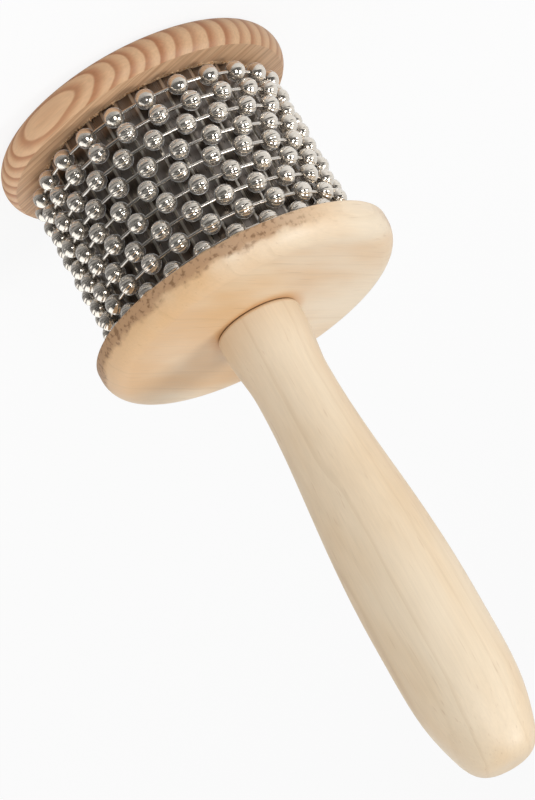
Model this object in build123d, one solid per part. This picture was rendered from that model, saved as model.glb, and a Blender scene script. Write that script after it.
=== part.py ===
from build123d import *
import math
import os

# Cabasa: a wooden head on a turned handle, ringed by steel bead chain loops that turn on a fluted
# steel sleeve. It stands on its head: the end disc's flat face lies on z = 0 and the handle points
# up along +Z. Sizes are in millimetres.

# Bead chain: hollow steel beads joined by short wires with upset heads inside the beads
bead_diameter = 4.8
bead_wall = 0.35
bead_pitch = 8.3
beads_per_loop = 23
wire_diameter = 0.95
wire_head_diameter = 1.7
wire_clearance = 0.1

# Loops, counted from the end disc. Each has come to rest at its own angle, given as a share of the
# bead pitch, counted clockwise seen from above, from the -Y side.
loop_rest_shares = [0.32, 0.43, -0.03, 0.45, 0.14, 0.43, -0.08, 0.19, -0.34]
loop_clearance = 0.1
loop_to_sleeve = 0.3
loop_to_end_disc = 1.9
loop_to_handle_disc = 0.4

# Sleeve: one sheet of steel, pressed into flutes along its length and rolled round the core
flute_count = 44
flute_depth = 0.45
ridge_width = 0.45
sheet_thickness = 0.4
seam_gap = 0.3
core_to_sleeve = 0.1

# End disc, with a rounded rim that ends in a corner on the chain's side
end_disc_overhang = 3.9
end_disc_thickness = 8.8
end_disc_rim_round = 5.1

# Handle-side disc, square at the chain and rounded over towards the hand
handle_disc_overhang = 5.1
handle_disc_thickness = 7.5
handle_disc_round = 5.5
handle_disc_edge = 0.4

# Handle: shoulder, neck, flank, swell and tip, with a spigot through the handle-side disc and the
# core. The flank lies midway between neck and swell.
handle_length = 120.2
shoulder_radius = 10.5
shoulder_round = 1.3
shoulder_height = 4.0
neck_radius = 9.3
neck_from_shoulder = 17.8
flank_radius = 11.4
swell_radius = 13.1
swell_from_tip = 40.0
tip_bulge_radius = 10.2
tip_bulge_height = 7.4
tip_flat_radius = 2.4
spigot_diameter = 16.0
spigot_clearance = 0.1

# Countersunk wood screw through the end disc into the spigot
screw_diameter = 4.5
screw_length = 40.0
screw_head_diameter = 9.0
screw_head_land = 0.4
screw_sink = 0.6
screw_clearance = 0.05
screw_slot_width = 1.1
screw_slot_length = 5.0
screw_slot_depth = 1.4

# Worked out from the sizes above
bead_radius = bead_diameter / 2
loop_step = 360 / beads_per_loop
loop_radius = bead_pitch / 2 / math.sin(math.pi / beads_per_loop)
link_radius = loop_radius * math.cos(math.pi / beads_per_loop)
loop_outer_radius = loop_radius + bead_radius
loop_count = len(loop_rest_shares)
row_spacing = bead_diameter + loop_clearance

drum_bottom = end_disc_thickness
drum_height = (
    loop_to_end_disc + (loop_count - 1) * row_spacing + bead_diameter + loop_to_handle_disc
)
drum_top = drum_bottom + drum_height
first_loop_height = drum_bottom + loop_to_end_disc + bead_radius

ridge_radius = loop_radius - bead_radius - loop_to_sleeve
core_radius = ridge_radius - flute_depth - sheet_thickness - core_to_sleeve
end_disc_radius = loop_outer_radius + end_disc_overhang
handle_disc_radius = loop_outer_radius + handle_disc_overhang
shoulder_level = drum_top + handle_disc_thickness
bore_radius = spigot_diameter / 2 + spigot_clearance
screw_radius = screw_diameter / 2
screw_head_radius = screw_head_diameter / 2


def polar(radius, degrees):
    """Point at a radius and an angle about the part's axis."""
    return (radius * math.cos(math.radians(degrees)), radius * math.sin(math.radians(degrees)))


def turned(points_and_curves):
    """Solid of revolution about Z from the edges of a half outline on the XZ plane."""
    return revolve(Plane.XZ * make_face(points_and_curves), Axis.Z)


def along_chain(shape, radius, degrees):
    """Lay a shape made along Z along the chain, at an angle about the part's axis."""
    return Rot(0, 0, degrees) * Pos(radius, 0, 0) * Rot(90, 0, 0) * shape


def make_bead():
    """Hollow bead at angle 0, with a wire hole towards each of its neighbours."""
    bead = Pos(loop_radius, 0, 0) * (Sphere(bead_radius) - Sphere(bead_radius - bead_wall))
    hole = Cylinder(wire_diameter / 2 + wire_clearance, bead_pitch)
    for side in (-1, 1):
        bead -= along_chain(hole, link_radius, side * loop_step / 2)
    return bead


def make_link():
    """Wire between the beads at angles 0 and one step, with a head held inside each bead."""
    head_radius = wire_head_diameter / 2
    head_from_bead_centre = bead_radius - bead_wall - wire_clearance - head_radius
    head_spacing = bead_pitch - 2 * head_from_bead_centre
    link = Cylinder(wire_diameter / 2, head_spacing)
    for side in (-1, 1):
        link += Pos(0, 0, side * head_spacing / 2) * Sphere(head_radius)
    return along_chain(link, link_radius, loop_step / 2)


def round_the_loop(piece, loop_index):
    """Copies of a bead or link all round one loop, at that loop's height and rest angle."""
    height = first_loop_height + loop_index * row_spacing
    start = -90 - loop_rest_shares[loop_index] * loop_step
    angles = [start + count * loop_step for count in range(beads_per_loop)]
    return Compound([Pos(0, 0, height) * Rot(0, 0, angle) * piece for angle in angles])


def fluted_outline(outer_radius):
    """Closed line of flat ridges with a hollow flute between each two."""
    step = 360 / flute_count
    half_ridge = math.degrees(ridge_width / 2 / outer_radius)
    edges = []
    for count in range(flute_count):
        ridge = count * step
        ridge_end = polar(outer_radius, ridge + half_ridge)
        next_ridge = polar(outer_radius, ridge + step - half_ridge)
        flute_floor = polar(outer_radius - flute_depth, ridge + step / 2)
        edges.append(Line(polar(outer_radius, ridge - half_ridge), ridge_end))
        edges.append(ThreePointArc(ridge_end, flute_floor, next_ridge))
    return Wire(edges)


def make_sleeve():
    """Fluted sheet between the two discs, with its butt seam in a flute at the back."""
    section = Face(fluted_outline(ridge_radius), [fluted_outline(ridge_radius - sheet_thickness)])
    sleeve = Pos(0, 0, drum_bottom) * extrude(section, drum_height)
    seam_angle = 360 / flute_count * (flute_count // 4 + 0.5)
    seam_depth = 4 * (flute_depth + sheet_thickness)
    seam = Pos(ridge_radius, 0, drum_bottom + drum_height / 2) * Box(seam_depth, seam_gap, drum_height)
    return sleeve - Rot(0, 0, seam_angle) * seam


def make_core():
    """Wooden drum inside the sleeve, bored for the handle's spigot."""
    core = Cylinder(core_radius, drum_height) - Cylinder(bore_radius, drum_height)
    return Pos(0, 0, drum_bottom + drum_height / 2) * core


def screw_side(clearance):
    """Land, cone and start of the shank of the screw as half outline points, grown by a clearance."""
    head = screw_head_radius + clearance
    shank = screw_radius + clearance
    cone_start = screw_sink + screw_head_land + clearance
    return [(head, cone_start), (shank, cone_start + head - shank)]


def make_end_disc():
    """Disc with a rounded rim and a countersunk hole for the screw in its end face."""
    rim_centre = end_disc_radius - end_disc_rim_round
    above_centre = end_disc_thickness - end_disc_rim_round
    corner_radius = rim_centre + math.sqrt(end_disc_rim_round**2 - above_centre**2)
    disc = turned([
        Line((0, 0), (rim_centre, 0)),
        ThreePointArc(
            (rim_centre, 0),
            (end_disc_radius, end_disc_rim_round),
            (corner_radius, end_disc_thickness),
        ),
        Line((corner_radius, end_disc_thickness), (0, end_disc_thickness)),
        Line((0, end_disc_thickness), (0, 0)),
    ])
    hole_side = screw_side(screw_clearance)
    mouth_radius = hole_side[0][0]
    hole_radius = hole_side[-1][0]
    return disc - turned([
        Polyline(
            (0, 0), (mouth_radius, 0), *hole_side,
            (hole_radius, end_disc_thickness), (0, end_disc_thickness), close=True,
        ),
    ])


def make_head_screw():
    """Countersunk screw with a crossed drive, its point inside the handle's spigot."""
    point = screw_sink + screw_length
    screw = turned([
        Polyline(
            (0, screw_sink), (screw_head_radius, screw_sink), *screw_side(0),
            (screw_radius, point - screw_diameter), (0, point), close=True,
        ),
    ])
    slot = Pos(0, 0, screw_sink + screw_slot_depth / 2) * Box(
        screw_slot_length, screw_slot_width, screw_slot_depth
    )
    return screw - slot - Rot(0, 0, 90) * slot


def make_handle_disc():
    """Disc between the chain and the hand, rounded over on the handle's side and bored."""
    disc = Pos(0, 0, drum_top + handle_disc_thickness / 2) * Cylinder(
        handle_disc_radius, handle_disc_thickness
    )
    rims = disc.edges().filter_by(GeomType.CIRCLE).sort_by(Axis.Z)
    disc = fillet(rims[-1], handle_disc_round)
    rims = disc.edges().filter_by(GeomType.CIRCLE).sort_by(Axis.Z)
    disc = fillet(rims[0], handle_disc_edge)
    bore = Pos(0, 0, drum_top + handle_disc_thickness / 2) * Cylinder(bore_radius, handle_disc_thickness)
    return disc - bore


def make_handle():
    """Turned handle and its spigot in one, with a pilot hole for the screw."""
    tip_level = shoulder_level + handle_length
    spigot_radius = spigot_diameter / 2
    shoulder_corner = (shoulder_radius, shoulder_level + shoulder_round)
    shoulder_end = (shoulder_radius, shoulder_level + shoulder_height)
    neck_level = shoulder_level + neck_from_shoulder
    swell_level = tip_level - swell_from_tip
    neck = (neck_radius, neck_level)
    flank = (flank_radius, (neck_level + swell_level) / 2)
    swell = (swell_radius, swell_level)
    tip_bulge = (tip_bulge_radius, tip_level - tip_bulge_height)
    tip = (tip_flat_radius, tip_level)
    up = (0, 1)
    inward = (-1, 0)
    handle = turned([
        Polyline(
            (0, drum_bottom), (spigot_radius, drum_bottom), (spigot_radius, shoulder_level),
            (shoulder_radius - shoulder_round, shoulder_level),
        ),
        RadiusArc(
            (shoulder_radius - shoulder_round, shoulder_level), shoulder_corner, -shoulder_round
        ),
        Line(shoulder_corner, shoulder_end),
        Spline(shoulder_end, neck, tangents=[up, up]),
        Spline(neck, flank, swell, tangents=[up, up]),
        Spline(swell, tip_bulge, tip, tangents=[up, inward]),
        Polyline(tip, (0, tip_level), (0, drum_bottom)),
    ])
    pilot_depth = screw_sink + screw_length + screw_clearance - drum_bottom
    pilot = Pos(0, 0, drum_bottom + pilot_depth / 2) * Cylinder(
        screw_radius + screw_clearance, pilot_depth
    )
    return handle - pilot


pieces = {
    "handle": make_handle(),
    "handle_disc": make_handle_disc(),
    "core_drum": make_core(),
    "fluted_sleeve": make_sleeve(),
    "end_disc": make_end_disc(),
    "head_screw": make_head_screw(),
}
bead = make_bead()
link = make_link()
for index in range(loop_count):
    pieces[f"loop_{index + 1}_beads"] = round_the_loop(bead, index)
    pieces[f"loop_{index + 1}_links"] = round_the_loop(link, index)

os.makedirs("parts", exist_ok=True)
for name, piece in pieces.items():
    export_step(piece, f"parts/{name}.step")
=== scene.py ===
import math

import bpy
import numpy as np
from mathutils import Matrix, Vector


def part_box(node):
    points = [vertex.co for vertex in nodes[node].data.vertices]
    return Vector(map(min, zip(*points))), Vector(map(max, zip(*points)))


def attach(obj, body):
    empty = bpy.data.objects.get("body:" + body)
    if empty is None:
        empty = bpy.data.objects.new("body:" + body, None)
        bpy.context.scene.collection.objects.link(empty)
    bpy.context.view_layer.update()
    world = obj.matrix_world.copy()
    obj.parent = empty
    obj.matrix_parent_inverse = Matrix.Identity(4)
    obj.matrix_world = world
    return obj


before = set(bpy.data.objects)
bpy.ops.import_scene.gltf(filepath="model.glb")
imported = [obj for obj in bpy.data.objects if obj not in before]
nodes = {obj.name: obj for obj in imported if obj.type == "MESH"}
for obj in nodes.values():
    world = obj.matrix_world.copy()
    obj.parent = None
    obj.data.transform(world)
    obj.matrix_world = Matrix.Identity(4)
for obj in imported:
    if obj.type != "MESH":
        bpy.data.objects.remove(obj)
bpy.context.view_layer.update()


# Handle
# One stick of pale blond hardwood, turned on a lathe, sanded and wiped with a thin satin varnish.
# Its grain runs along its length, and its spigot is glued through the disc and the core.

def linear(hex_colour):
    """Linear colour from an sRGB hex value, by the sRGB transfer curve."""
    parts = [int(hex_colour[place:place + 2], 16) / 255 for place in (1, 3, 5)]
    return tuple(p / 12.92 if p <= 0.04045 else ((p + 0.055) / 1.055) ** 2.4 for p in parts) + (1.0,)


def add(tree, kind, inputs=(), output=0, **settings):
    """Add a shader node with its settings; inputs by place or name are values, or sockets to link."""
    node = tree.nodes.new("ShaderNode" + kind)
    for name, value in settings.items():
        setattr(node, name, value)
    for place, value in inputs.items() if isinstance(inputs, dict) else enumerate(inputs):
        if isinstance(value, bpy.types.NodeSocket):
            tree.links.new(value, node.inputs[place])
        else:
            node.inputs[place].default_value = value
    return node.outputs[output] if node.outputs else None


def start_material(name):
    """New empty material with its node tree, and the place on the part in millimetres."""
    material = bpy.data.materials.new(name)
    material.use_nodes = True
    tree = material.node_tree
    tree.nodes.clear()
    metres = add(tree, "TexCoord", output="Object")
    place = add(tree, "VectorMath", {0: metres, "Scale": 1000.0}, operation="SCALE")
    return material, tree, place


def dress(node_name, material):
    """Give a CAD node its finished material in place of the plain one it came with."""
    slots = nodes[node_name].data.materials
    slots.clear()
    slots.append(material)


def blond_wood(name, pale, warm, along, pith, warm_shade_side=(0.0, 0.0, 0.0)):
    """Turned blond hardwood: pale, close-grained, with faint growth lines, warm patches and vessels.

    along is the grain's direction and pith a point on the tree's centre line, in millimetres. Painted
    shade makes the wood warmer and darker towards warm_shade_side, by its length in each millimetre. The
    shader's own parts come back too, so that a piece can add its stains and painted shade before
    finish_wood.
    """
    growth_line = linear("#B4905F")
    vessel = linear("#A87845")
    patch_size = 19.0
    layer_spacing = 3.6
    wobble_size = 7.0
    wobble_depth = 4.0
    # Real fibres and vessels are finer than a pixel, and are drawn as coarse as they need to show.
    fibre_width = 0.45
    vessel_width = 0.6

    material, tree, place = start_material(name)
    run = add(tree, "VectorMath", [place, along], output=1, operation="DOT_PRODUCT")
    lengthwise = add(tree, "VectorMath", {0: along, "Scale": run}, operation="SCALE")
    across = add(tree, "VectorMath", [place, lengthwise], operation="SUBTRACT")
    # Along the grain, patches are drawn out 3 times, growth layers 10 times and fibres 22 times.
    patch_place, layer_place, fibre_place = (
        add(tree, "VectorMath", [lengthwise, (1 / longer,) * 3, across], operation="MULTIPLY_ADD")
        for longer in (3.0, 10.0, 22.0)
    )

    # MapRange takes a value, the two ends of the range it comes from, and the two that they go to.
    # Mix takes a share as input 0 and the two colours as 6 and 7, and gives their mix as output 2.
    patches = add(tree, "TexNoise", {"Vector": patch_place, "Scale": 1 / patch_size, "Detail": 3.0})
    # Painted shade: the warm patches are the wood's own, and the push towards warm_shade_side is painted.
    painted_warm_shade = add(tree, "VectorMath", [place, warm_shade_side], output=1, operation="DOT_PRODUCT")
    patches = add(tree, "Math", [patches, painted_warm_shade], operation="ADD")
    patches = add(tree, "MapRange", [patches, 0.3, 0.75, 0.0, 1.0], interpolation_type="SMOOTHSTEP")
    colour = add(tree, "Mix", {0: patches, 6: linear(pale), 7: linear(warm)}, output=2, data_type="RGBA")

    wobble = add(tree, "TexNoise", {"Vector": layer_place, "Scale": 1 / wobble_size, "Detail": 2.0})
    from_pith = add(tree, "VectorMath", [across, pith], output=1, operation="DISTANCE")
    layers = add(tree, "Math", [wobble, wobble_depth, from_pith], operation="MULTIPLY_ADD")
    layers = add(tree, "Math", [layers, layer_spacing], operation="DIVIDE")
    year = add(tree, "Math", [layers], operation="FLOOR")
    season = add(tree, "Math", [layers], operation="FRACT")
    latewood = add(tree, "MapRange", [season, 0.7, 0.97, 0.0, 1.0], interpolation_type="SMOOTHSTEP")
    year_strength = add(tree, "TexWhiteNoise", {"W": year}, noise_dimensions="1D")
    year_strength = add(tree, "MapRange", [year_strength, 0.2, 1.0, 0.0, 0.17])
    latewood = add(tree, "Math", [latewood, year_strength], operation="MULTIPLY")
    colour = add(tree, "Mix", {0: latewood, 6: colour, 7: growth_line}, output=2, data_type="RGBA")

    vessels = add(tree, "TexNoise", {"Vector": fibre_place, "Scale": 1 / vessel_width, "Detail": 1.0})
    vessels = add(tree, "MapRange", [vessels, 0.66, 0.8, 0.0, 0.2], interpolation_type="SMOOTHSTEP")
    colour = add(tree, "Mix", {0: vessels, 6: colour, 7: vessel}, output=2, data_type="RGBA")

    fibres = add(tree, "TexNoise", {"Vector": fibre_place, "Scale": 1 / fibre_width, "Detail": 3.0})
    tone = add(tree, "MapRange", [fibres, 0.25, 0.75, 0.96, 1.03])
    colour = add(tree, "VectorMath", {0: colour, "Scale": tone}, operation="SCALE")
    relief = add(tree, "Math", [fibres, vessels], operation="SUBTRACT")
    return material, tree, place, colour, fibres, relief


def finish_wood(tree, colour, fibres, relief):
    """Join the colour, fibres and relief of a wood to its surface, under a thin satin varnish."""
    fibre_height = 0.02
    roughness = add(tree, "MapRange", [fibres, 0.3, 0.7, 0.42, 0.52])
    bump = add(tree, "Bump", {"Height": relief, "Strength": 0.6, "Distance": fibre_height / 1000})
    shader = add(tree, "BsdfPrincipled", {
        "Base Color": colour, "Roughness": roughness, "Normal": bump,
        "Coat Weight": 0.1, "Coat Roughness": 0.32,
    })
    add(tree, "OutputMaterial", [shader])


handle_wood, tree, place, colour, fibres, relief = blond_wood(
    "satin_blond_hardwood_handle", pale="#EDDBC0", warm="#E3C8A4",
    along=(0.0, 0.0, 1.0), pith=(-42.0, 6.0, 0.0),
)
finish_wood(tree, colour, fibres, relief)
dress("handle", handle_wood)


# Handle-side disc
# A disc of the same blond hardwood, its grain lying flat. The lathe left the end grain of its rim tan,
# torn and pitted on the chain's side. It is glued on the handle's spigot. Shade is painted dark into
# the crease there, in a warm ring of painted shade.

chain_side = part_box("handle_disc")[0].z * 1000
disc_grain = math.radians(-59.0)
disc_along = (math.cos(disc_grain), math.sin(disc_grain), 0.0)
to_pith = 90.0
disc_pith = (-to_pith * math.sin(disc_grain), to_pith * math.cos(disc_grain), chain_side)
torn_height = 3.6
ragged_size = 5.0
ragged_depth = 5.0
tan = linear("#B48B66")
tan_share = 0.8
pit = linear("#7A5530")
pit_size = 1.1
pit_to_fibre_depth = 5.0
shoulder_radius = 10.5
crease_mouth = shoulder_radius - 0.2
crease_foot = shoulder_radius - 0.9
crease_shade_brown = linear("#5A3A1E")
halo_width = 3.0
warm_shade_colour = linear("#D9A468")

# Painted shade makes the disc warmer and darker towards +x and -y.
disc_wood, tree, place, colour, fibres, relief = blond_wood(
    "satin_blond_hardwood_disc", pale="#F0DEC4", warm="#E1B888",
    along=disc_along, pith=disc_pith, warm_shade_side=(0.006, -0.003, 0.0),
)
height = add(tree, "SeparateXYZ", [place], output=2)
ragged = add(tree, "TexNoise", {"Vector": place, "Scale": 1 / ragged_size, "Detail": 3.0})
height = add(tree, "Math", [ragged, ragged_depth, height], operation="MULTIPLY_ADD")
torn_end = chain_side + torn_height + ragged_depth / 2
sound_from = torn_end + 0.9
torn_below = torn_end - 0.7
torn = add(tree, "MapRange", [height, sound_from, torn_below, 0.0, 1.0], interpolation_type="SMOOTHSTEP")
outward = add(tree, "NewGeometry", output="Normal")
facing = add(tree, "VectorMath", [outward, disc_along], output=1, operation="DOT_PRODUCT")
facing = add(tree, "Math", [facing], operation="ABSOLUTE")
end_grain = add(tree, "MapRange", [facing, 0.2, 0.7, 0.0, 1.0], interpolation_type="SMOOTHSTEP")
torn = add(tree, "Math", [torn, end_grain], operation="MULTIPLY")
tanned = add(tree, "Math", [torn, tan_share], operation="MULTIPLY")
colour = add(tree, "Mix", {0: tanned, 6: colour, 7: tan}, output=2, data_type="RGBA")
pits = add(tree, "TexNoise", {"Vector": place, "Scale": 1 / pit_size, "Detail": 4.0})
pits = add(tree, "MapRange", [pits, 0.5, 0.66, 0.0, 0.7], interpolation_type="SMOOTHSTEP")
pits = add(tree, "Math", [pits, torn], operation="MULTIPLY")
colour = add(tree, "Mix", {0: pits, 6: colour, 7: pit}, output=2, data_type="RGBA")
relief = add(tree, "Math", [pits, -pit_to_fibre_depth, relief], operation="MULTIPLY_ADD")
flat = add(tree, "VectorMath", [place, (1.0, 1.0, 0.0)], operation="MULTIPLY")
radius = add(tree, "VectorMath", [flat], output=1, operation="LENGTH")
# A warm ring of painted shade fades out from the shoulder, round the crease.
shade_ring = add(tree, "MapRange", [radius, shoulder_radius + halo_width, shoulder_radius, 0.0, 0.55],
           interpolation_type="SMOOTHSTEP")
colour = add(tree, "Mix", {0: shade_ring, 6: colour, 7: warm_shade_colour}, output=2, data_type="RGBA")
# Shade is painted dark brown into the crease where the handle's shoulder meets the disc.
painted_crease_shade = add(tree, "MapRange", [radius, crease_mouth, crease_foot, 0.0, 0.8],
           interpolation_type="SMOOTHSTEP")
colour = add(tree, "Mix", {0: painted_crease_shade, 6: colour, 7: crease_shade_brown}, output=2, data_type="RGBA")
finish_wood(tree, colour, fibres, relief)
dress("handle_disc", disc_wood)


# Core drum
# The plain hardwood drum inside the head, turned and bored for the handle's spigot. The steel sleeve is
# rolled round it.

core_wood, tree, place, colour, fibres, relief = blond_wood(
    "plain_hardwood_core", pale="#E2CDA8", warm="#D3B184",
    along=(0.0, 0.0, 1.0), pith=(-40.0, 10.0, 0.0),
)
finish_wood(tree, colour, fibres, relief)
dress("core_drum", core_wood)


# Fluted sleeve
# One sheet of mild steel pressed into flutes and rolled round the core, so that its narrow ridges
# rasp under the beads. It is bare steel, dull and dark in the flutes and rubbed bright on the ridges.

def rolled_steel(name, ridge_radius, rubbed_depth):
    """Bare rolled steel: grey, with fine lines along its length, rubbed bright towards its ridges."""
    dull = linear("#78706A")
    bright = linear("#C6C0B7")
    # Rolling leaves lines finer than a pixel, and they are drawn as coarse as they need to show.
    line_width = 0.3
    line_depth = 0.02
    drawn_out = 25.0
    material, tree, place = start_material(name)
    flat = add(tree, "VectorMath", [place, (1.0, 1.0, 0.0)], operation="MULTIPLY")
    radius = add(tree, "VectorMath", [flat], output=1, operation="LENGTH")
    rubbed = add(tree, "MapRange", [radius, ridge_radius - rubbed_depth, ridge_radius, 0.0, 1.0],
                 interpolation_type="SMOOTHSTEP")
    drawn = add(tree, "VectorMath", [place, (1.0, 1.0, 1 / drawn_out)], operation="MULTIPLY")
    lines = add(tree, "TexNoise", {"Vector": drawn, "Scale": 1 / line_width, "Detail": 2.0})
    shade = add(tree, "Math", [lines, 0.2, rubbed], operation="MULTIPLY_ADD")
    colour = add(tree, "Mix", {0: shade, 6: dull, 7: bright}, output=2, data_type="RGBA")
    roughness = add(tree, "MapRange", [lines, 0.3, 0.7, 0.24, 0.38])
    bump = add(tree, "Bump", {"Height": lines, "Strength": 0.3, "Distance": line_depth / 1000})
    shader = add(tree, "BsdfPrincipled", {
        "Base Color": colour, "Metallic": 1.0, "Roughness": roughness, "Normal": bump,
    })
    add(tree, "OutputMaterial", [shader])
    return material


sleeve_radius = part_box("fluted_sleeve")[1].x * 1000
dress("fluted_sleeve", rolled_steel("bare_rolled_steel", sleeve_radius, rubbed_depth=0.12))


# Bead chain loops
# Nine loops of ball chain, each of hollow beads rolled up from nickel-plated strip steel. Rolling
# leaves creases that run from one wire hole to the other on many beads. The loops turn freely.

def node_points(node_name):
    """Vertices of a CAD node in millimetres, one row each."""
    mesh = nodes[node_name].data
    points = np.empty(len(mesh.vertices) * 3, np.float32)
    mesh.vertices.foreach_get("co", points)
    return points.reshape(-1, 3) * 1000


def bead_nickel(name, bead_count, bead_radius, ring_radius, height, first_angle, creased):
    """Bright nickel on a rolled bead: a hazed mirror, creased from hole to hole, dull at the holes and
    under a thin film of dust and handling, which shows most at its rim.

    Each bead's own place comes from the angle about the part's axis: the nearest bead's angle gives
    the distance along the chain, and the outward and upward distances give the angle round the wire.
    """
    bright = linear("#F0E8DC")
    tarnish = linear("#A89E93")
    groove_count = 15
    groove_depth = 0.056
    sway_depth = 2.5
    seed_spread = 60.0
    scuff_size = 0.5
    step = 2 * math.pi / bead_count

    material, tree, place = start_material(name)
    x, y, z = (add(tree, "SeparateXYZ", [place], output=axis) for axis in range(3))
    angle = add(tree, "Math", [y, x], operation="ARCTAN2")
    count = add(tree, "Math", [angle, first_angle], operation="SUBTRACT")
    count = add(tree, "Math", [count, step], operation="DIVIDE")
    whole = add(tree, "Math", [count], operation="ROUND")
    off_angle = add(tree, "Math", [count, whole], operation="SUBTRACT")
    off_angle = add(tree, "Math", [off_angle, step], operation="MULTIPLY")
    bead = add(tree, "Math", [whole, float(bead_count), 0.0], operation="WRAP")
    flat = add(tree, "VectorMath", [place, (1.0, 1.0, 0.0)], operation="MULTIPLY")
    reach = add(tree, "VectorMath", [flat], output=1, operation="LENGTH")
    side = add(tree, "Math", [off_angle], operation="SINE")
    along_chain = add(tree, "Math", [reach, side], operation="MULTIPLY")
    front = add(tree, "Math", [off_angle], operation="COSINE")
    outward = add(tree, "Math", [reach, front, -ring_radius], operation="MULTIPLY_ADD")
    upward = add(tree, "Math", [z, height], operation="SUBTRACT")
    round_wire = add(tree, "Math", [upward, outward], operation="ARCTAN2")

    chance = add(tree, "CombineXYZ", [bead, height, 0.5])
    luck = add(tree, "TexWhiteNoise", {"Vector": chance}, noise_dimensions="3D")
    seed = add(tree, "Math", [luck, seed_spread], operation="MULTIPLY")
    # The creases sway a little from bead to bead and round the wire, and hardly at all along it.
    sway_round = add(tree, "Math", [round_wire, 1.2], operation="MULTIPLY")
    sway_along = add(tree, "Math", [along_chain, 0.08], operation="MULTIPLY")
    sway_place = add(tree, "CombineXYZ", [sway_round, sway_along, seed])
    sway = add(tree, "TexNoise", {"Vector": sway_place, "Scale": 1.0, "Detail": 0.0})
    phase = add(tree, "Math", [sway, sway_depth, seed], operation="MULTIPLY_ADD")
    phase = add(tree, "Math", [round_wire, float(groove_count), phase], operation="MULTIPLY_ADD")
    grooves = add(tree, "Math", [phase], operation="SINE")
    depth = add(tree, "Math", [luck, 0.5, sway], operation="MULTIPLY_ADD")
    depth = add(tree, "MapRange", [depth, 0.45, 0.75, 0.5 * creased, creased],
                interpolation_type="SMOOTHSTEP")
    to_hole = add(tree, "Math", [along_chain], operation="ABSOLUTE")
    fading = add(tree, "MapRange", [to_hole, 0.45 * bead_radius, 0.9 * bead_radius, 1.0, 0.15],
                 interpolation_type="SMOOTHSTEP")
    depth = add(tree, "Math", [depth, fading], operation="MULTIPLY")
    relief = add(tree, "Math", [grooves, depth], operation="MULTIPLY")

    stain = add(tree, "MapRange", [to_hole, 0.75 * bead_radius, bead_radius, 0.0, 0.8],
                interpolation_type="SMOOTHSTEP")
    colour = add(tree, "Mix", {0: stain, 6: bright, 7: tarnish}, output=2, data_type="RGBA")
    scuffs = add(tree, "TexNoise", {"Vector": place, "Scale": 1 / scuff_size, "Detail": 3.0})
    roughness = add(tree, "MapRange", [scuffs, 0.35, 0.75, 0.09, 0.2])
    bump = add(tree, "Bump", {"Height": relief, "Strength": 1.0, "Distance": groove_depth / 1000})
    shader = add(tree, "BsdfPrincipled", {
        "Base Color": colour, "Metallic": 0.92, "Roughness": roughness, "Normal": bump,
        "Sheen Weight": 0.85, "Sheen Roughness": 0.4,
    })
    add(tree, "OutputMaterial", [shader])
    return material


loop_count = sum(name.endswith("_beads") for name in nodes)
bead_count = 23
for loop in range(1, loop_count + 1):
    beads = node_points(f"loop_{loop}_beads")
    angles = np.arctan2(beads[:, 1], beads[:, 0])
    # Times the bead count, the angles of all the beads agree, and their mean gives the first bead's.
    first_angle = float(np.angle(np.exp(1j * bead_count * angles).sum())) / bead_count
    bead_radius = round(float(np.ptp(beads[:, 2])) / 2, 3)
    reach = np.hypot(beads[:, 0], beads[:, 1])
    ring_radius = float(reach.max() + reach.min()) / 2
    height = float(beads[:, 2].max() + beads[:, 2].min()) / 2
    # The beads of the loop next to the end disc are nearly smooth.
    creased = 0.15 if loop == 1 else 1.0
    dress(f"loop_{loop}_beads", bead_nickel(
        f"bright_nickel_beads_{loop}", bead_count, bead_radius, ring_radius, height, first_angle, creased,
    ))


# Chain wires
# Short drawn steel wires, nickel plated. Each has an upset head inside each of the two beads that it
# joins, too wide for the bead's hole.

def drawn_wire(name):
    """Bright drawn wire: near mirror, with a faint mottle from drawing and plating."""
    bright = linear("#EDE8E1")
    mottled = linear("#CFC8BE")
    mottle_size = 0.6
    material, tree, place = start_material(name)
    mottle = add(tree, "TexNoise", {"Vector": place, "Scale": 1 / mottle_size, "Detail": 2.0})
    colour = add(tree, "Mix", {0: mottle, 6: bright, 7: mottled}, output=2, data_type="RGBA")
    roughness = add(tree, "MapRange", [mottle, 0.3, 0.7, 0.16, 0.26])
    shader = add(tree, "BsdfPrincipled", {"Base Color": colour, "Metallic": 1.0, "Roughness": roughness})
    add(tree, "OutputMaterial", [shader])
    return material


wire = drawn_wire("bright_drawn_wire")
for loop in range(1, loop_count + 1):
    dress(f"loop_{loop}_links", wire)


# End disc
# A disc cut from a flat-sawn pine board, with its rim rounded by a cutter and lightly sanded. It
# closes the head and is drawn up against the core by the screw.

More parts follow.
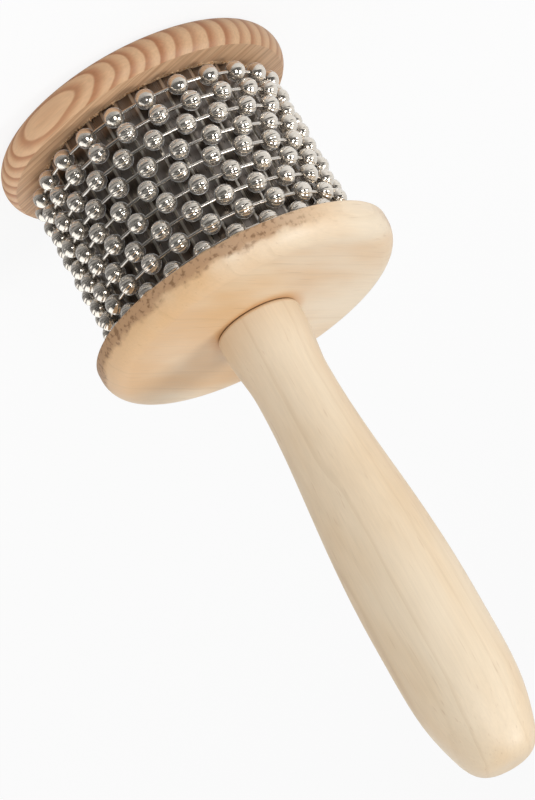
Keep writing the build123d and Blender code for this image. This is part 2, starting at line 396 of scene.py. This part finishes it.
def sanded_pine(name, along, outward_growth, dark_shade_side):
    """Sanded pine: soft growth layers, light in spring, red-brown in autumn and crowded to the bark.

    along is the grain's direction and outward_growth the direction towards the bark. The layer number
    grows with the distance towards the bark, and faster with its fifth power, so the last are thin.
    Painted shade makes the wood darker towards dark_shade_side, by its length in each millimetre.
    """
    spring = linear("#DBB28A")
    autumn = linear("#B67A52")
    edge = linear("#996541")
    planed_and_lit = linear("#E9C29B")
    middle_layer = 0.91
    inner_spacing = 4.5
    outer_crowding = 5.0e-8
    wobble_size = 11.0
    wobble_depth = 3.0
    # Real fibres are finer than a pixel, and they are drawn as coarse as they need to show.
    fibre_width = 0.5
    line_width = 0.7
    layer_relief = 0.04

    material, tree, place = start_material(name)
    run = add(tree, "VectorMath", [place, along], output=1, operation="DOT_PRODUCT")
    lengthwise = add(tree, "VectorMath", {0: along, "Scale": run}, operation="SCALE")
    across = add(tree, "VectorMath", [place, lengthwise], operation="SUBTRACT")
    # Along the grain, layers are drawn out 3 times, fibres 16 times and the flat face's lines 60 times.
    layer_place, fibre_place, line_place = (
        add(tree, "VectorMath", [lengthwise, (1 / longer,) * 3, across], operation="MULTIPLY_ADD")
        for longer in (3.0, 16.0, 60.0)
    )
    wobble = add(tree, "TexNoise", {"Vector": layer_place, "Scale": 1 / wobble_size, "Detail": 2.0})
    wobble = add(tree, "Math", [wobble, 0.5], operation="SUBTRACT")
    to_bark = add(tree, "VectorMath", [place, outward_growth], output=1, operation="DOT_PRODUCT")
    to_bark = add(tree, "Math", [wobble, wobble_depth, to_bark], operation="MULTIPLY_ADD")
    fifth_power = add(tree, "Math", [to_bark, 5.0], operation="POWER")
    crowding = add(tree, "Math", [fifth_power, outer_crowding, middle_layer], operation="MULTIPLY_ADD")
    layers = add(tree, "Math", [to_bark, 1 / inner_spacing, crowding], operation="MULTIPLY_ADD")
    year = add(tree, "Math", [layers], operation="FLOOR")
    season = add(tree, "Math", [layers], operation="FRACT")
    late = add(tree, "MapRange", [season, 0.2, 0.82, 0.0, 1.0], interpolation_type="SMOOTHSTEP")
    year_strength = add(tree, "TexWhiteNoise", {"W": year}, noise_dimensions="1D")
    year_strength = add(tree, "MapRange", [year_strength, 0.0, 1.0, 0.55, 1.0])
    late = add(tree, "Math", [late, year_strength], operation="MULTIPLY")
    year_end = add(tree, "MapRange", [season, 0.86, 1.0, 1.0, 0.0], interpolation_type="SMOOTHSTEP")
    late = add(tree, "Math", [late, year_end], operation="MULTIPLY")
    colour = add(tree, "Mix", {0: late, 6: spring, 7: autumn}, output=2, data_type="RGBA")
    ring_edge = add(tree, "MapRange", [season, 0.6, 0.85, 0.0, 0.22], interpolation_type="SMOOTHSTEP")
    ring_edge = add(tree, "Math", [ring_edge, year_end], operation="MULTIPLY")
    colour = add(tree, "Mix", {0: ring_edge, 6: colour, 7: edge}, output=2, data_type="RGBA")

    fibres = add(tree, "TexNoise", {"Vector": fibre_place, "Scale": 1 / fibre_width, "Detail": 3.0})
    outward = add(tree, "NewGeometry", output="Normal")
    upward = add(tree, "SeparateXYZ", [outward], output=2)
    # The flat face is planed and paler than the rim, and its colour is also painted lighter against the
    # shade that falls on it, as painted light.
    flat_face = add(tree, "MapRange", [upward, 0.9, 0.98, 0.0, 0.6])
    colour = add(tree, "Mix", {0: flat_face, 6: colour, 7: planed_and_lit}, output=2, data_type="RGBA")
    lines = add(tree, "TexNoise", {"Vector": line_place, "Scale": 1 / line_width, "Detail": 1.0})
    lines = add(tree, "MapRange", [lines, 0.5, 0.62, 0.0, 0.5], interpolation_type="SMOOTHSTEP")
    lines = add(tree, "Math", [lines, flat_face], operation="MULTIPLY")
    colour = add(tree, "Mix", {0: lines, 6: colour, 7: edge}, output=2, data_type="RGBA")
    tone = add(tree, "MapRange", [fibres, 0.25, 0.75, 0.9, 1.07])
    # Painted shade: the wood is darker towards dark_shade_side.
    darker = add(tree, "VectorMath", [place, dark_shade_side], output=1, operation="DOT_PRODUCT")
    tone = add(tree, "Math", [tone, darker], operation="SUBTRACT")
    colour = add(tree, "VectorMath", {0: colour, "Scale": tone}, operation="SCALE")
    roughness = add(tree, "MapRange", [fibres, 0.3, 0.7, 0.42, 0.56])
    relief = add(tree, "Math", [late, 0.6, fibres], operation="MULTIPLY_ADD")
    bump = add(tree, "Bump", {"Height": relief, "Strength": 0.6, "Distance": layer_relief / 1000})
    shader = add(tree, "BsdfPrincipled", {"Base Color": colour, "Roughness": roughness, "Normal": bump})
    add(tree, "OutputMaterial", [shader])
    return material


pine_grain = math.radians(31.0)
pine_along = (math.cos(pine_grain), math.sin(pine_grain), 0.0)
pine_growth = (math.sin(pine_grain), -math.cos(pine_grain), 0.05)
# Painted shade makes the pine darker towards -x.
dress("end_disc", sanded_pine("sanded_pine", pine_along, pine_growth, dark_shade_side=(-0.005, 0.0, 0.0)))


# Torn fibres
# A ragged lip of pine round the sleeve's foot, where the steel sheet's cut edge has bitten into the
# end disc and raised the fibres. It is part of the disc's wood.

def ragged_lip(inner_radius, width, level, crest, spokes):
    """Lip round the axis: at angle a and share s across it, the radius is the inner radius plus s
    times a random part of the width, from six tenths up, and the height is the level plus a random
    crest of that angle times sin(pi s). A few crests stand tall, with their neighbours. Lengths are in
    metres.
    """
    across_points = 5
    luck = np.random.default_rng(11).random((3, spokes))
    fine = luck[0] ** 2 + np.roll(luck[0] ** 2, 1)
    tall = np.where(luck[1] > 0.93, 1.2 * luck[2], 0.0)
    tall = tall + 0.7 * np.roll(tall, 1) + 0.4 * np.roll(tall, -1)
    crests = crest * (0.3 * fine + tall)
    a, s = np.meshgrid(np.linspace(0, 2 * math.pi, spokes, endpoint=False),
                       np.linspace(0, 1, across_points), indexing="ij")
    r = inner_radius + width * s * (0.6 + 0.4 * luck[0][:, None])
    z = level + crests[:, None] * np.sin(math.pi * s)
    points = np.stack([r * np.cos(a), r * np.sin(a), z], -1).reshape(-1, 3)
    spoke, across = np.meshgrid(np.arange(spokes), np.arange(across_points - 1), indexing="ij")
    here = spoke * across_points + across
    over = (spoke + 1) % spokes * across_points + across
    return points, np.stack([here, here + 1, over + 1, over], -1).reshape(-1, 4)


def torn_pine(name):
    """Torn pine: pale, dry and matt, with fine brown streaks between the raised fibres."""
    pale = linear("#E6C49B")
    brown = linear("#A9774C")
    streak_size = 0.5
    material, tree, place = start_material(name)
    streaks = add(tree, "TexNoise", {"Vector": place, "Scale": 1 / streak_size, "Detail": 3.0})
    streaks = add(tree, "MapRange", [streaks, 0.4, 0.7, 0.0, 1.0], interpolation_type="SMOOTHSTEP")
    colour = add(tree, "Mix", {0: streaks, 6: pale, 7: brown}, output=2, data_type="RGBA")
    roughness = add(tree, "MapRange", [streaks, 0.0, 1.0, 0.7, 0.9])
    shader = add(tree, "BsdfPrincipled", {"Base Color": colour, "Roughness": roughness})
    add(tree, "OutputMaterial", [shader])
    return material


disc_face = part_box("end_disc")[1].z
lip_overlap = 0.0001
lip_points, lip_quads = ragged_lip(
    sleeve_radius / 1000 - lip_overlap, width=0.0011, level=disc_face, crest=0.0006, spokes=900,
)
lip_mesh = bpy.data.meshes.new("torn_fibres")
lip_mesh.from_pydata(lip_points, [], lip_quads.tolist())
lip_mesh.materials.append(torn_pine("torn_pine"))
lip = bpy.data.objects.new("torn_fibres", lip_mesh)
bpy.context.scene.collection.objects.link(lip)
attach(lip, "head_and_handle")


# Head screw
# A countersunk steel wood screw, zinc plated. It is driven through the end disc into the handle's
# spigot, and its head lies just inside the disc's flat face.

def zinc_plate(name):
    """Zinc plating: pale bluish grey with a cloudy mottle, half dull."""
    pale = linear("#C8CACB")
    cloud = linear("#9B9DA0")
    cloud_size = 1.2
    material, tree, place = start_material(name)
    clouds = add(tree, "TexNoise", {"Vector": place, "Scale": 1 / cloud_size, "Detail": 4.0})
    colour = add(tree, "Mix", {0: clouds, 6: pale, 7: cloud}, output=2, data_type="RGBA")
    roughness = add(tree, "MapRange", [clouds, 0.3, 0.7, 0.25, 0.45])
    shader = add(tree, "BsdfPrincipled", {"Base Color": colour, "Metallic": 1.0, "Roughness": roughness})
    add(tree, "OutputMaterial", [shader])
    return material


dress("head_screw", zinc_plate("zinc_plate"))


# Floor
# A plain floor of white paper, a hair below the end disc's flat face and clear from below, to show
# that face. The camera sees it white, with the part's shadow, and mirrors see a painted glow on it,
# darker in front.

def disc_surface(radius, height, rings, spokes):
    """Flat disc: point (r cos a, r sin a, height) over a grid of radii r and angles a, in metres."""
    r, a = np.meshgrid(np.linspace(0, radius, rings), np.linspace(0, 2 * math.pi, spokes, endpoint=False))
    points = np.stack([r * np.cos(a), r * np.sin(a), np.full_like(r, height)], -1).reshape(-1, 3)
    spoke, ring = np.meshgrid(np.arange(spokes), np.arange(rings - 1), indexing="ij")
    here = spoke * rings + ring
    over = (spoke + 1) % spokes * rings + ring
    quads = np.stack([here, here + 1, over + 1, over], -1).reshape(-1, 4)
    return points, quads


below_part = 0.0002
white_share = 0.88
light_side = (-0.8, 0.6, 0.0)
floor_points, floor_quads = disc_surface(radius=6.0, height=-below_part, rings=24, spokes=96)
floor_mesh = bpy.data.meshes.new("floor")
floor_mesh.from_pydata(floor_points, [], floor_quads.tolist())
floor = bpy.data.objects.new("floor", floor_mesh)
bpy.context.scene.collection.objects.link(floor)
paper, tree, place = start_material("white_paper_floor")
camera_ray, glossy_ray, through_ray = (
    add(tree, "LightPath", output=name)
    for name in ("Is Camera Ray", "Is Glossy Ray", "Is Transmission Ray")
)
# For mirrors the floor glows as painted light, dim in front and bright behind.
behind = add(tree, "VectorMath", [place, light_side], output=1, operation="DOT_PRODUCT")
mirrored = add(tree, "MapRange", [behind, -100.0, 60.0, 0.06, 0.85], interpolation_type="SMOOTHSTEP")
glow = add(tree, "MapRange", [camera_ray, 0.0, 1.0, mirrored, 1.0])
seen = add(tree, "Math", [glossy_ray, through_ray], operation="MAXIMUM")
seen = add(tree, "Math", [seen, camera_ray], operation="MAXIMUM")
seen = add(tree, "Math", [seen, white_share], operation="MULTIPLY")
matt = add(tree, "BsdfDiffuse", {"Color": linear("#EEEEEE")})
white = add(tree, "Emission", {"Color": linear("#FFFFFF"), "Strength": glow})
surface = add(tree, "MixShader", [seen, matt, white])
from_below = add(tree, "NewGeometry", output="Backfacing")
clear = add(tree, "BsdfTransparent")
surface = add(tree, "MixShader", [from_below, surface, clear])
add(tree, "OutputMaterial", [surface])
floor_mesh.materials.append(paper)


# Camera
# It stands in front of the head and above it, at the photograph's viewing angle, and is turned so that
# the handle points down to the right. The sighted point on the part's axis lies at the sighted pixel.

photo_width = 535
photo_height = 800
handle_turn = math.radians(60.56)
elevation = math.radians(18.09)
camera_distance = 0.9337
focal_pixels = 4028.0
sensor = 36.0
sighted_height = 0.0551
sighted_pixel = (242.0, 295.4)

# The part's own axes in the picture, each as shares to the right, down and forward.
x_seen = (-math.sin(handle_turn), math.cos(handle_turn), 0.0)
y_seen = (math.sin(elevation) * math.cos(handle_turn), math.sin(elevation) * math.sin(handle_turn),
          math.cos(elevation))
z_seen = (math.cos(handle_turn) * math.cos(elevation), math.sin(handle_turn) * math.cos(elevation),
          -math.sin(elevation))
right, down, forward = (Vector(way) for way in zip(x_seen, y_seen, z_seen))

camera_data = bpy.data.cameras.new("camera")
camera_data.sensor_width = sensor
camera_data.lens = focal_pixels * sensor / photo_height
camera_data.clip_start = 0.01
camera_data.clip_end = 50.0
camera = bpy.data.objects.new("camera", camera_data)
bpy.context.scene.collection.objects.link(camera)
aside = (sighted_pixel[0] - photo_width / 2) / focal_pixels
below = (sighted_pixel[1] - photo_height / 2) / focal_pixels
stand = Vector((0, 0, sighted_height)) - camera_distance * (aside * right + below * down + forward)
turn = Matrix((right, -down, -forward)).transposed().to_4x4()
camera.matrix_world = Matrix.Translation(stand) @ turn
bpy.context.scene.camera = camera


# Light
# A softbox by the camera, a stronger one to the right, a wide white panel at the lower left, and a
# soft even room. The camera sees the room white, and mirrors see it dark in front and light behind.

def softbox(name, toward, distance, width, depth, radiance):
    """Flat lamp that faces the head, from a direction given as right, down and forward shares."""
    lamp = bpy.data.lights.new(name, "AREA")
    lamp.shape = "RECTANGLE"
    lamp.size = width
    lamp.size_y = depth
    lamp.energy = radiance * math.pi * width * depth
    placed = bpy.data.objects.new(name, lamp)
    bpy.context.scene.collection.objects.link(placed)
    head_top = Vector((0, 0, 0.06))
    way = (toward[0] * right + toward[1] * down + toward[2] * forward).normalized()
    placed.location = head_top + way * distance
    placed.rotation_euler = way.to_track_quat("Z", "Y").to_euler()


softbox("near_softbox", (0.26, 0.12, -0.96), distance=1.1, width=0.36, depth=0.36, radiance=7.5)
softbox("right_softbox", (0.86, 0.17, -0.48), distance=1.1, width=0.36, depth=0.36, radiance=11.0)
softbox("back_panel", (-0.5, 0.75, 0.3), distance=0.8, width=1.7, depth=1.2, radiance=0.6)

room_glow = 0.45
world = bpy.data.worlds.new("studio")
bpy.context.scene.world = world
world.use_nodes = True
tree = world.node_tree
tree.nodes.clear()
camera_ray, glossy_ray, through_ray = (
    add(tree, "LightPath", output=name)
    for name in ("Is Camera Ray", "Is Glossy Ray", "Is Transmission Ray")
)
seen = add(tree, "Math", [glossy_ray, through_ray], operation="MAXIMUM")
way = add(tree, "TexCoord", output="Object")
behind = add(tree, "SeparateXYZ", [way], output=1)
mirrored = add(tree, "MapRange", [behind, -0.45, 0.15, 0.05, 0.75], interpolation_type="SMOOTHSTEP")
glow = add(tree, "MapRange", [seen, 0.0, 1.0, room_glow, mirrored])
glow = add(tree, "MapRange", [camera_ray, 0.0, 1.0, glow, 1.0])
surroundings = add(tree, "Background", {"Color": linear("#FFFFFF"), "Strength": glow})
add(tree, "OutputWorld", [surroundings])

bpy.context.scene.view_settings.view_transform = "Standard"
